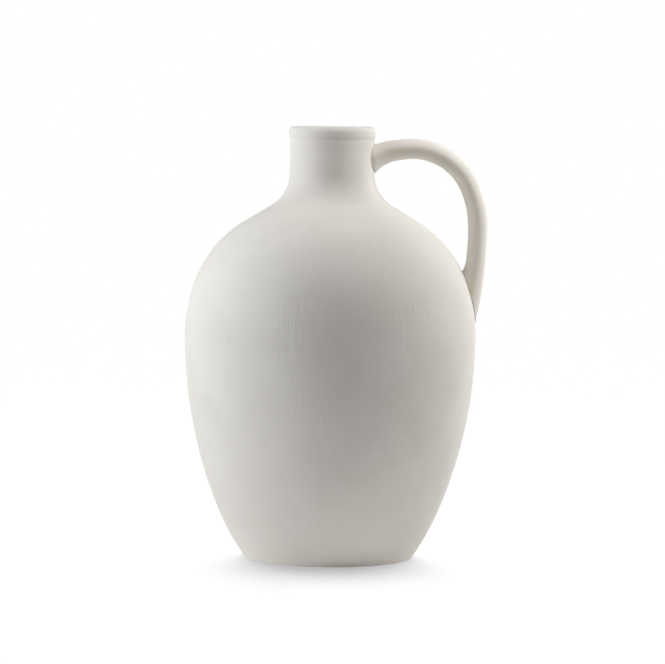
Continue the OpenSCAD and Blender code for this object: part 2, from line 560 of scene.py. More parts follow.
class GroupSheet(NodeDesk):
    """Shader node group that reads a place and named values, and puts out values."""

    def __init__(self, name: str, values: tuple[str, ...], outputs: tuple[str, ...]) -> None:
        """Starts an empty group.

        Args:
            name: Name of the group.
            values: Names of its inputs beside the place.
            outputs: Names of its outputs.
        """
        tree = bpy.data.node_groups.new(name, "ShaderNodeTree")
        tree.interface.new_socket(name="Vector", in_out="INPUT", socket_type="NodeSocketVector")
        for in_out, names in (("INPUT", values), ("OUTPUT", outputs)):
            for socket in names:
                tree.interface.new_socket(name=socket, in_out=in_out, socket_type="NodeSocketFloat")
        super().__init__(tree)
        self.given = self.add("NodeGroupInput").outputs
        self.place = self.given["Vector"]
        self.result = self.add("NodeGroupOutput")

    def put_out(self, results: dict[str, Socket]) -> Tree:
        """Feeds the group's outputs and gives the group."""
        self.wire(self.result, results)
        return self.tree


class MaterialSheet(NodeDesk):
    """Material with its shader and its piece's own coordinates."""

    def __init__(self, name: str) -> None:
        """Starts a material.

        Args:
            name: Name of the material.
        """
        self.material = bpy.data.materials.new(name)
        self.material.use_nodes = True
        super().__init__(self.material.node_tree)
        self.shader = self.tree.nodes["Principled BSDF"]
        self.place = self.add("ShaderNodeTexCoord").outputs["Object"]

    def dress(self, inputs: dict[str, Value | tuple[float, ...]]) -> Material:
        """Feeds the shader and gives the material."""
        self.wire(self.shader, inputs)
        return self.material


@dataclass(frozen=True)
class Spot:
    """Place on the jug's outside.

    The turn is in degrees from the front towards the handle, and lengths are in millimetres.
    """

    turn: float
    height: float

    def middle(self, section: JugSection) -> Vector:
        """Place of the spot in space, in metres."""
        out = section.outer_radius(self.height)
        return Vector((out * sine(self.turn), -out * cosine(self.turn), self.height)) * MM


@dataclass(frozen=True)
class WorkedArea(Spot):
    """Part of the jug's outside where the brush was worked harder."""

    half_width: float
    half_height: float
    strength: float = 1.0

    def away(self, desk: NodeDesk, offset: Socket) -> Socket:
        """How far out an offset from the middle lies, 1 being the edge."""
        wide, tall = 1.0 / (self.half_width * MM), 1.0 / (self.half_height * MM)
        return desk.vector("LENGTH", desk.vector("MULTIPLY", offset, (wide, wide, tall)))


@dataclass(frozen=True)
class Scratch(Spot):
    """Scratch or scuff on the jug's outside, which leans towards the handle by an angle in degrees."""

    lean: float
    half_length: float
    half_width: float
    strength: float = 1.0

    def away(self, desk: NodeDesk, offset: Socket) -> Socket:
        """How far out an offset from the middle lies, 1 being the edge.

        Args:
            desk: Where the nodes go.
            offset: The offset in metres.

        Returns:
            The value's socket.
        """
        level = cosine(self.lean)
        across = Vector((cosine(self.turn) * level, sine(self.turn) * level, -sine(self.lean)))
        far = desk.math("MULTIPLY", desk.vector("LENGTH", offset), 1.0 / (self.half_length * MM))
        aside = desk.vector("DOT_PRODUCT", offset, across / (self.half_width * MM))
        return desk.math("MULTIPLY_ADD", far, far, desk.math("MULTIPLY", aside, aside))


@dataclass(frozen=True)
class RaggedEdge:
    """Edge of a mark: the scale per metre, octaves and weight of its noise, its reach and its fade."""

    scale: float
    detail: float
    rough: float
    reach: float
    fade: Span


WORKED_AREAS = (
    WorkedArea(-17.0, 178.0, 40.0, 58.0, 0.95),
    WorkedArea(36.0, 180.0, 38.0, 62.0, 1.15),
    WorkedArea(-12.0, 112.0, 30.0, 44.0, 0.8),
    WorkedArea(26.0, 124.0, 24.0, 34.0, 0.8),
    WorkedArea(-62.0, 130.0, 30.0, 50.0, 0.7),
    WorkedArea(74.0, 100.0, 24.0, 42.0, 0.8),
    WorkedArea(118.0, 168.0, 30.0, 46.0),
    WorkedArea(165.0, 130.0, 28.0, 50.0, 0.9),
    WorkedArea(200.0, 190.0, 26.0, 38.0),
    WorkedArea(248.0, 150.0, 30.0, 52.0, 0.8),
)
SCRATCHES = (
    Scratch(33.6, 104.6, 38.0, 11.0, 1.3),
    Scratch(-41.5, 168.5, 70.0, 7.0, 2.6, 0.7),
    Scratch(-39.5, 165.5, 105.0, 6.0, 2.0, 0.7),
    Scratch(-19.5, 164.0, 92.0, 18.0, 3.6, 0.45),
    Scratch(13.6, 124.0, 0.0, 3.0, 1.2, 0.7),
    Scratch(96.0, 82.0, 15.0, 9.0, 1.3),
    Scratch(152.0, 142.0, -24.0, 10.0, 1.3),
    Scratch(208.0, 176.0, 82.0, 8.0, 2.4, 0.7),
    Scratch(250.0, 118.0, 38.0, 9.0, 1.3),
)


@dataclass
class ClayEffects:
    """Effects that the finishes share, each a node group that is built once. Scales are per metre."""

    section: JugSection
    area_edge: RaggedEdge = RaggedEdge(40.0, 2.0, 0.5, 0.8, (0.6, 1.3))
    scratch_edge: RaggedEdge = RaggedEdge(260.0, 3.0, 0.6, 2.0, (0.9, 1.8))
    lean_scale: float = 7.0
    lean: float = 0.2
    bristle_rough: float = 0.65
    cloud_detail: float = 3.0
    cloud_rough: float = 0.55
    noise_middle: float = 0.5
    tone_from: Span = (0.3, 0.7)
    pinhole_chance: Span = (0.62, 1.0)
    pinhole_fade: Span = (0.0, 0.5)
    least_pinhole: float = 0.001
    worked: Tree = field(init=False)
    scratches: Tree = field(init=False)
    brush: Tree = field(init=False)
    mottle: Tree = field(init=False)
    pinholes: Tree = field(init=False)

    def __post_init__(self) -> None:
        """Builds the groups."""
        self.worked = self._marks("worked_areas", WORKED_AREAS, self.area_edge)
        self.scratches = self._marks("scratches", SCRATCHES, self.scratch_edge)
        self.brush = self._brush_marks()
        self.mottle = self._mottle()
        self.pinholes = self._pinholes()

    def _marks(self, name: str, marks: tuple[WorkedArea | Scratch, ...], edge: RaggedEdge) -> Tree:
        """Mask of marks with ragged edges.

        Args:
            name: Name of the group.
            marks: The marks.
            edge: How ragged they are.

        Returns:
            The group.
        """
        sheet = GroupSheet(name, (), ("Mask",))
        ragged = sheet.noise(sheet.place, edge.scale, edge.detail, edge.rough)
        ragged = sheet.math("MULTIPLY", ragged, edge.reach)
        mask: Value = 0.0
        for mark in marks:
            offset = sheet.vector("SUBTRACT", sheet.place, mark.middle(self.section))
            away = sheet.math("ADD", mark.away(sheet, offset), ragged)
            mask = sheet.math("MAXIMUM", mask, sheet.span(away, edge.fade, (mark.strength, 0.0)))
        return sheet.put_out({"Mask": mask})

    def _brush_marks(self) -> Tree:
        """Strokes of a brush along Z that lean a little here and there: their relief and their tone.

        Returns:
            The group.
        """
        sheet = GroupSheet("brush_marks", ("Across", "Along", "Worked"), ("Relief", "Tone"))
        place, given = sheet.place, sheet.given
        around = sheet.vector("NORMALIZE", sheet.vector("MULTIPLY", place, (1.0, 1.0, 0.0)))
        sideways = sheet.vector("CROSS_PRODUCT", around, (0.0, 0.0, 1.0))
        swerve = sheet.math("SUBTRACT", sheet.noise(place, self.lean_scale, detail=1.0), self.noise_middle)
        lean = sheet.math("MULTIPLY", swerve, self.lean)
        leaning = sheet.vector("ADD", around, sheet.stretch(sideways, lean))
        upright = sheet.stretch(sheet.vector("MULTIPLY", place, (0.0, 0.0, 1.0)), given["Along"])
        strokes = sheet.vector("ADD", sheet.stretch(leaning, given["Across"]), upright)
        bristles = sheet.noise(strokes, 1.0, rough=self.bristle_rough)
        marks = sheet.math("SUBTRACT", bristles, self.noise_middle)
        marks = sheet.math("MULTIPLY_ADD", marks, given["Worked"], self.noise_middle)
        return sheet.put_out({"Relief": marks, "Tone": sheet.span(marks, self.tone_from)})

    def _mottle(self) -> Tree:
        """Cloudy unevenness of tone.

        Returns:
            The group.
        """
        sheet = GroupSheet("mottle", ("Scale",), ("Tone",))
        clouds = sheet.noise(sheet.place, sheet.given["Scale"], self.cloud_detail, self.cloud_rough)
        return sheet.put_out({"Tone": sheet.span(clouds, self.tone_from)})

    def _pinholes(self) -> Tree:
        """Scattered pinholes: a mask that is 1 inside one.

        Returns:
            The group.
        """
        sheet = GroupSheet("pinholes", ("Scale", "Size"), ("Mask",))
        largest = sheet.given["Size"]
        cells = sheet.add("ShaderNodeTexVoronoi", feature="F1")
        cell = sheet.wire(cells, {"Vector": sheet.place, "Scale": sheet.given["Scale"]})
        chance = sheet.wire(sheet.add("ShaderNodeSeparateColor"), {"Color": cell["Color"]})["Red"]
        size = sheet.math("MULTIPLY", largest, sheet.span(chance, self.pinhole_chance))
        inside = sheet.math("SUBTRACT", size, cell["Distance"])
        share = sheet.math("DIVIDE", inside, sheet.math("MAXIMUM", largest, self.least_pinhole))
        return sheet.put_out({"Mask": sheet.span(share, self.pinhole_fade)})


@dataclass(frozen=True)
class ClayFinish:
    """Matte brushed clay. Scales are per metre; relief and the painted-shade stripe's widths are in
    metres.
    """

    name: str
    pale: Colour
    deep: Colour
    across: float = 62.0
    along: float = 40.0
    worked: float = 0.4
    stroke_tone: float = 0.25
    stroke_relief: float = 0.0003
    mottle: float = 22.0
    mottle_tone: float = 0.6
    pinhole_scale: float = 46.0
    pinhole_size: float = 0.035
    pinhole_tone: float = 0.9
    pinhole_depth: float = 0.0003
    scratch_tone: float = 0.8
    scratch_depth: float = 0.0001
    grain_scale: float = 900.0
    grain_rough: float = 0.6
    grain_relief: float = 0.00002
    roughness: Span = (0.80, 0.94)
    specular: float = 0.08
    attribute: str = ""
    # Colour and widths of a warm tint with painted shade: a darker stripe along the bar's front and back
    # faces.
    warm_tint_and_painted_shade: Colour | None = None
    warm_tint_and_painted_shade_half: Span = (0.0005, 0.0038)
    warm_tint_and_painted_shade_ragged: float = 0.0008

    def material(self, effects: ClayEffects) -> Material:
        """Builds the material.

        Args:
            effects: The shared node groups.

        Returns:
            The finished material.
        """
        sheet = MaterialSheet(self.name)
        place = along_piece = sheet.place
        worked: Value = self.worked
        if self.attribute:
            along_piece = sheet.add("ShaderNodeAttribute", attribute_name=self.attribute).outputs["Vector"]
        else:
            areas = sheet.effect(effects.worked, {"Vector": place})["Mask"]
            worked = sheet.math("MAXIMUM", areas, self.worked)
        strokes = {"Vector": along_piece, "Across": self.across, "Along": self.along, "Worked": worked}
        brush = sheet.effect(effects.brush, strokes)
        clouds = sheet.effect(effects.mottle, {"Vector": place, "Scale": self.mottle})["Tone"]
        scatter = {"Vector": place, "Scale": self.pinhole_scale, "Size": self.pinhole_size}
        pinholes = sheet.effect(effects.pinholes, scatter)["Mask"]
        scratches = sheet.effect(effects.scratches, {"Vector": place})["Mask"]
        grain = sheet.noise(place, self.grain_scale, rough=self.grain_rough)
        tone = sheet.weighted(
            (clouds, self.mottle_tone), (brush["Tone"], self.stroke_tone),
            (pinholes, self.pinhole_tone), (scratches, self.scratch_tone),
        )
        relief = sheet.weighted(
            (brush["Relief"], self.stroke_relief), (grain, self.grain_relief),
            (pinholes, -self.pinhole_depth), (scratches, -self.scratch_depth),
        )
        colour = sheet.blend(tone, self.pale, self.deep)
        # Warm tint with painted shade: a darker, warmer stripe down the bar's front and back faces, fading
        # out towards its top and underside.
        if self.warm_tint_and_painted_shade:
            aside = sheet.math("ABSOLUTE", sheet.parts(along_piece)["X"])
            aside = sheet.math("MULTIPLY_ADD", clouds, self.warm_tint_and_painted_shade_ragged, aside)
            colour = sheet.blend(sheet.span(aside, self.warm_tint_and_painted_shade_half, (1.0, 0.0)), colour, self.warm_tint_and_painted_shade)
        return sheet.dress({
            "Base Color": colour,
            "Roughness": sheet.span(clouds, FULL, self.roughness),
            "Specular IOR Level": self.specular,
            "Normal": sheet.bump(relief),
        })


@dataclass(frozen=True)
class GlazeFinish:
    """Glassy lining with a slight unevenness. Scales are per metre, and relief is in metres."""

    name: str
    pale: Colour
    deep: Colour
    mottle: float = 30.0
    mottle_tone: float = 0.7
    pinhole_scale: float = 60.0
    pinhole_size: float = 0.05
    pinhole_tone: float = 1.0
    wave_scale: float = 120.0
    wave_relief: float = 0.0001
    roughness: Span = (0.10, 0.24)

    def material(self, effects: ClayEffects) -> Material:
        """Builds the material.

        Args:
            effects: The shared node groups.

        Returns:
            The finished material.
        """
        sheet = MaterialSheet(self.name)
        clouds = sheet.effect(effects.mottle, {"Vector": sheet.place, "Scale": self.mottle})["Tone"]
        scatter = {"Vector": sheet.place, "Scale": self.pinhole_scale, "Size": self.pinhole_size}
        pinholes = sheet.effect(effects.pinholes, scatter)["Mask"]
        waves = sheet.noise(sheet.place, self.wave_scale, detail=1.0)
        tone = sheet.weighted((clouds, self.mottle_tone), (pinholes, self.pinhole_tone))
        return sheet.dress({
            "Base Color": sheet.blend(tone, self.pale, self.deep),
            "Roughness": sheet.span(clouds, FULL, self.roughness),
            "Normal": sheet.bump(waves, self.wave_relief),
        })


@dataclass(frozen=True)
class Nick:
    """Nick in the edge of the foot: where it is, by its turn in degrees, and its size in millimetres."""

    turn: float
    half_width: float
    depth: float


@dataclass
class JugBody:
    """Floor, belly, shoulder and neck in one wall, which opens a little to meet the rim."""

    section: JugSection
    neck_end_r: float
    turns: int = 288
    inside: InsideSteps = InsideSteps(6, 12, 4, 10, 10, 20, 8, 4)
    lump: float = 0.20
    lump_size: float = 62.0
    dimple: float = 0.05
    dimple_size: float = 17.0
    ring: float = 0.035
    ring_pitch: float = 4.6
    ring_drift_size: float = 30.0
    rings_above: Span = (205.0, 235.0)
    foot_fade: Span = (1.0, 14.0)
    rim_fade: Span = (0.0, 8.0)
    opens_over: float = 9.0
    nicks: tuple[Nick, ...] = (Nick(-5.8, 1.5, 0.9), Nick(23.6, 1.3, 0.8))
    nicked_h: float = 3.0
    nicked_in: float = 4.0

    def build(self) -> Piece:
        """Builds the wall.

        Returns:
            The piece.
        """
        part = self.section
        pen = SectionPen(Vector((0.0, 0.0)))
        self._draw_outside(pen)
        pen.line(Vector((part.sizes.bore_r, part.rim_z)), steps=2)
        pen.inside_down(part, 0.0, self.inside)
        bm = pen.revolve(self.turns)
        self._work_clay(bm)
        self._chip_foot(bm)
        return make_piece("jug_body", bm)

    def _draw_outside(self, pen: SectionPen) -> None:
        """Draws from the middle of the foot up to the end of the neck.

        Args:
            pen: The pen.
        """
        part, s = self.section, self.section.sizes
        pen.line(Vector((part.edge.centre.x, 0.0)), steps=6)
        pen.arc(part.edge, 90.0 - part.edge_turn, steps=5)
        pen.arc(part.tuck, part.edge_turn - part.sweep_turn, steps=16)
        pen.arc(part.sweep, part.sweep_turn, steps=46)
        pen.arc(part.upper, s.upper_turn, steps=22)
        pen.arc(part.shoulder, part.shoulder_turn - s.upper_turn, steps=20)
        pen.line(part.hollow.at(180.0 + part.shoulder_turn), steps=7)
        pen.arc(part.hollow, s.neck_taper - part.shoulder_turn, steps=18)
        pen.line(Vector((part.neck_radius(part.rim_z), part.rim_z)), steps=12)

    def _work_clay(self, bm: Mesh) -> None:
        """Leaves the slight unevenness of hand work on the outside.

        Args:
            bm: The wall's mesh.
        """
        part, s = self.section, self.section.sizes
        opens = self.neck_end_r - part.neck_radius(part.rim_z)
        bm.normal_update()
        for vert in bm.verts:
            height = vert.co.z / MM
            radius = vert.co.xy.length / MM
            if radius < part.outer_radius(height) - s.wall / 2.0:
                continue
            free = smooth_step(height, *self.foot_fade) * smooth_step(part.rim_z - height, *self.rim_fade)
            drift = ripple(vert.co, self.ring_drift_size)
            rings = math.sin(math.tau * (height / self.ring_pitch + drift))
            rise = self.lump * ripple(vert.co, self.lump_size)
            rise += self.dimple * ripple(vert.co, self.dimple_size)
            rise += smooth_step(height, *self.rings_above) * self.ring * rings
            opening = opens * smooth_step(height, part.rim_z - self.opens_over, part.rim_z)
            vert.co += vert.normal * rise * free * MM
            vert.co.xy *= 1.0 + opening / radius

    def _chip_foot(self, bm: Mesh) -> None:
        """Knocks small nicks out of the edge of the foot.

        Args:
            bm: The wall's mesh.
        """
        inner = (self.section.edge.centre.x - self.nicked_in) * MM
        for nick in self.nicks:
            for vert in bm.verts:
                if vert.co.z > self.nicked_h * MM or vert.co.y > 0.0 or vert.co.xy.length < inner:
                    continue
                aside = abs(vert.co.xy.dot(unit(nick.turn))) / MM
                vert.co.z += nick.depth * MM * smooth_step(nick.half_width - aside, 0.0, nick.half_width)


@dataclass
class RimBand:
    """Soft roll of clay round the mouth, which rolls under and runs out on the neck."""

    section: JugSection
    turns: int = 224
    bulge_r: float = 18.0
    top_r: float = 3.8
    soft_r: float = 4.5
    soft_turn: float = 24.0
    skirt: float = 0.3
    lip_r: float = 2.1
    sway: float = 0.10
    sway_size: float = 21.0
    sway_above: Span = (0.5, 5.0)
    top: Arc = field(init=False)
    bulge: Arc = field(init=False)
    bulge_turn: float = field(init=False)
    lip: Arc = field(init=False)
    under: Arc = field(init=False)
    fillet: Arc = field(init=False)
    foot_r: float = field(init=False)

    def __post_init__(self) -> None:
        """Works the arcs of the roll out from its sizes."""
        part, s = self.section, self.section.sizes
        middle_z = part.height - self.top_r
        self.top = Arc(Vector((s.rim_r - self.top_r, middle_z)), self.top_r)
        self.bulge = Arc(Vector((s.rim_r - self.bulge_r, middle_z)), self.bulge_r)
        self.lip = Arc(Vector((s.bore_r + self.lip_r, part.height - self.lip_r)), self.lip_r)
        rolled = 2.0 * sine(self.soft_turn) + sine(s.neck_taper)
        fall = middle_z - part.rim_z - self.skirt - self.soft_r * rolled
        self.bulge_turn = math.degrees(math.asin(fall / (self.bulge_r - self.soft_r)))
        self.under = Arc(self.bulge.at(-self.bulge_turn, -self.soft_r), self.soft_r)
        self.fillet = Arc(self.under.at(-self.soft_turn, self.soft_r), self.soft_r)
        self.foot_r = self.fillet.at(180.0 + s.neck_taper).x

    def build(self) -> Piece:
        """Builds the roll.

        Returns:
            The piece.
        """
        part, s = self.section, self.section.sizes
        start = Vector((s.bore_r, part.rim_z))
        pen = SectionPen(start)
        pen.line(self.lip.at(180.0), steps=6)
        pen.arc(self.lip, -90.0, steps=7)
        pen.line(self.top.at(90.0))
        pen.arc(self.top, -90.0, steps=14)
        pen.arc(self.bulge, -self.bulge_turn, steps=8)
        pen.arc(self.under, self.bulge_turn - self.soft_turn, steps=4)
        pen.arc(self.fillet, self.soft_turn + s.neck_taper, steps=8)
        pen.line(Vector((self.foot_r, part.rim_z)), steps=3)
        pen.line(start, steps=3)
        bm = pen.revolve(self.turns)
        self._work_clay(bm)
        return make_piece("rim_roll", bm, SOFT_CREASE)

    def _work_clay(self, bm: Mesh) -> None:
        """Lets the roll sway a little, as one made by hand does, without lifting off the neck.

        Args:
            bm: The roll's mesh.
        """
        bm.normal_update()
        for vert in bm.verts:
            free = smooth_step(vert.co.z / MM - self.section.rim_z, *self.sway_above)
            vert.co += vert.normal * self.sway * ripple(vert.co, self.sway_size) * free * MM


@dataclass
class BarTip:
    """Ring that a bar has reached as it is led along. Its radius and station are in millimetres."""

    verts: list[Vert]
    centre: Vector
    heading: Vector
    radius: float
    station: float

    def edges(self) -> list[bmesh.types.BMEdge]:
        """Edges of the ring, each once."""
        ring = set(self.verts)
        return list(dict.fromkeys(e for v in self.verts for e in v.link_edges if e.other_vert(v) in ring))


@dataclass
class Handle:
    """Bent bar from the neck to the belly, with a flared root and a lower end that feathers out."""

    section: JugSection
    bar_r: float = 7.4
    side_bar_r: float = 7.2
    tail_bar_r: float = 7.8
    slims_at: Span = (105.0, 125.0)
    swells_at: Span = (130.0, 175.0)
    depth: float = 1.16
    drop: float = 8.4
    overhang: float = 8.05
    root_run: float = 21.6
    rise: float = 8.0
    side_r: float = 73.0
    side_turn: float = 24.0
    tail_h: float = 12.5
    tail_below: float = 4.0
    flare: float = 2.9
    flare_fade: float = 7.5
    sag: float = 3.8
    sag_run: float = 16.0
    sunk: float = 2.6
    bedded: float = 0.3
    drawn_on: float = 1.9
    drawn_share: float = 0.8
    drawn_reach: float = 4.0
    segments: int = 56
    lump: float = 0.14
    lump_size: float = 16.0
    lump_from: Span = (2.0, 12.0)
    along: Vector = field(init=False)
    side: Arc = field(init=False)
    bend: Arc = field(init=False)
    bend_turn: float = field(init=False)
    fall: Arc = field(init=False)
    fall_turn: float = field(init=False)
    root_end: Vector = field(init=False)
    root_l: float = field(init=False)
    length: float = field(init=False)

    def __post_init__(self) -> None:
        """Works out the centre line from the sizes."""
        part, s = self.section, self.section.sizes
        self.along = Vector((cosine(self.rise), 0.0, sine(self.rise)))
        side_x = s.belly_r + self.overhang - self.bar_r
        turn_in = self.side_r * (1.0 - cosine(self.side_turn))
        span = side_x - turn_in - s.neck_r - self.root_run
        bend_r = span / (sine(self.rise) + cosine(self.side_turn))
        bend_top = part.height - self.drop - self.bar_r
        side_z = bend_top - bend_r - (self.side_r - bend_r) * sine(self.side_turn)
        self.side = Arc(Vector((side_x - self.side_r, side_z)), self.side_r)
        self.bend = Arc(self.side.at(self.side_turn, -bend_r), bend_r)
        self.bend_turn = 90.0 + self.rise - self.side_turn
        self.root_end = self.bend.at(90.0 + self.rise)
        root_z = self.root_end.y - (self.root_end.x - s.neck_r) * math.tan(math.radians(self.rise))
        self.root_l = (self.root_end.x - part.neck_radius(root_z)) / cosine(self.rise)
        tail_z = s.belly_z + self.tail_h
        drop_in = side_x - (part.upper.right_side(tail_z) - self.bar_r)
        drop_r = (drop_in**2 + (side_z - tail_z) ** 2) / (2.0 * drop_in)
        self.fall = Arc(Vector((side_x - drop_r, side_z)), drop_r)
        self.fall_turn = math.degrees(math.asin((side_z - tail_z + self.tail_below) / drop_r))
        rounded = math.radians(bend_r * self.bend_turn + self.side_r * self.side_turn)
        self.length = self.root_l + rounded

    def build(self) -> Piece:
        """Builds the bar.

        Returns:
            The piece.
        """
        bm = bmesh.new()
        bm.verts.layers.float_vector.new(BAR_PLACE)
        start = in_space(self.root_end) - self.along * (self.root_l + self.sunk) * MM
        start += DEPTHWISE.cross(self.along) * self.sag * MM
        turn = self.along.to_track_quat("Z", "Y").to_matrix().to_4x4()
        radius = self.bar_r + self.flare
        made = bmesh.ops.create_circle(
            bm, cap_ends=True, segments=self.segments, radius=radius * MM,
            matrix=Matrix.Translation(start) @ turn,
        )
        tip = BarTip(made["verts"], start, self.along, radius, -self.sunk)
        bmesh.ops.scale(bm, vec=Vector((1.0, self.depth, 1.0)), verts=tip.verts)
        self._mark(bm, tip)
        self._lead_straight(bm, tip, steps=14)
        self._lead_round(bm, tip, self.bend, self.bend_turn, steps=40)
        self._lead_round(bm, tip, self.side, self.side_turn, steps=14)
        self._lead_round(bm, tip, self.fall, self.fall_turn, steps=52)
        bmesh.ops.contextual_create(bm, geom=tip.edges())
        bmesh.ops.recalc_face_normals(bm, faces=bm.faces)
        self._work_clay(bm)
        self._bed_on_belly(bm)
        return make_piece("jug_handle", bm, SOFT_CREASE)

    def bar_radius(self, station: float) -> float:
        """Radius of the bar at a distance along it from the neck.

        Args:
            station: The distance in millimetres.

        Returns:
            The radius in millimetres.
        """
        flare = self.flare * math.exp(-max(station, 0.0) / self.flare_fade)
        slim = (self.bar_r - self.side_bar_r) * smooth_step(station, *self.slims_at)
        swell = (self.tail_bar_r - self.side_bar_r) * smooth_step(station, *self.swells_at)
        return self.bar_r + flare - slim + swell

    def root_sag(self, station: float) -> float:
        """How far the root has sunk under its straight line at a distance from the neck."""
        return self.sag * max(1.0 - max(station, 0.0) / self.sag_run, 0.0) ** 2

    def _mark(self, bm: Mesh, tip: BarTip) -> None:
        """Writes on the ring where it is on the bar, for the brush marks.

        Args:
            bm: The bar's mesh.
            tip: The ring.
        """
        layer = bm.verts.layers.float_vector[BAR_PLACE]
        upward = tip.heading.cross(DEPTHWISE)
        for vert in tip.verts:
            out = vert.co - tip.centre
            vert[layer] = (out.dot(upward), out.y, tip.station * MM)

    def _step(self, bm: Mesh, tip: BarTip, move: Matrix, length: float) -> None:
        """Leads the bar one ring on.

        Args:
            bm: The bar's mesh.
            tip: The ring that it has reached.
            move: How the ring moves.
            length: How far along the bar that is, in millimetres.
        """
        made = bmesh.ops.extrude_edge_only(bm, edges=tip.edges())
        tip.verts = [g for g in made["geom"] if isinstance(g, Vert)]
        bmesh.ops.transform(bm, matrix=move, verts=tip.verts)
        tip.heading = (move.to_3x3() @ tip.heading).normalized()
        lift = self.root_sag(tip.station) - self.root_sag(tip.station + length)
        upward = tip.heading.cross(DEPTHWISE) * lift * MM
        bmesh.ops.translate(bm, vec=upward, verts=tip.verts)
        tip.centre = move @ tip.centre + upward
        tip.station += length
        radius = self.bar_radius(tip.station)
        bmesh.ops.scale(
            bm, vec=Vector((1.0, 1.0, 1.0)) * (radius / tip.radius), verts=tip.verts,
            space=Matrix.Translation(-tip.centre),
        )
        tip.radius = radius
        self._mark(bm, tip)

    def _lead_straight(self, bm: Mesh, tip: BarTip, steps: int) -> None:
        """Leads the root from inside the neck to the start of the bend.

        Args:
            bm: The bar's mesh.
            tip: The ring that it has reached.
            steps: How many rings it takes.
        """
        length = (self.root_l + self.sunk) / steps
        for _ in range(steps):
            self._step(bm, tip, Matrix.Translation(tip.heading * length * MM), length)

    def _lead_round(self, bm: Mesh, tip: BarTip, arc: Arc, turn: float, steps: int) -> None:
        """Leads the bar down round an arc of its centre line.

        Args:
            bm: The bar's mesh.
            tip: The ring that it has reached.
            arc: The arc.
            turn: Degrees to turn.
            steps: How many rings it takes.
        """
        angle = math.radians(turn / steps)
        pivot = Matrix.Translation(in_space(arc.centre))
        move = pivot @ Matrix.Rotation(angle, 4, "Y") @ pivot.inverted()
        for _ in range(steps):
            self._step(bm, tip, move, angle * arc.radius)

    def _work_clay(self, bm: Mesh) -> None:
        """Leaves the slight unevenness of a bar rolled by hand.

        Args:
            bm: The bar's mesh.
        """
        layer = bm.verts.layers.float_vector[BAR_PLACE]
        bm.normal_update()
        for vert in bm.verts:
            free = smooth_step(vert[layer].z / MM, *self.lump_from)
            vert.co += vert.normal * self.lump * ripple(vert.co, self.lump_size) * free * MM

    def _bed_on_belly(self, bm: Mesh) -> None:
        """Presses the lower end of the bar onto the belly and draws its inner side onto it.

        Args:
            bm: The bar's mesh.
        """
        layer = bm.verts.layers.float_vector[BAR_PLACE]
        for vert in bm.verts:
            if vert[layer].z < self.length * MM / 2.0:
                continue
            seat = self.section.outer_radius(vert.co.z / MM) - self.bedded
            gap = vert.co.xy.length / MM - seat
            inner = smooth_step(-vert[layer].x / (self.bar_r * MM), 0.0, self.drawn_share)
            loose = smooth_step(gap, 0.0, self.drawn_reach * self.drawn_on)
            drawn = self.drawn_on * inner * (1.0 - loose)
            vert.co.xy = vert.co.xy.normalized() * (seat + max(gap - drawn, 0.0)) * MM


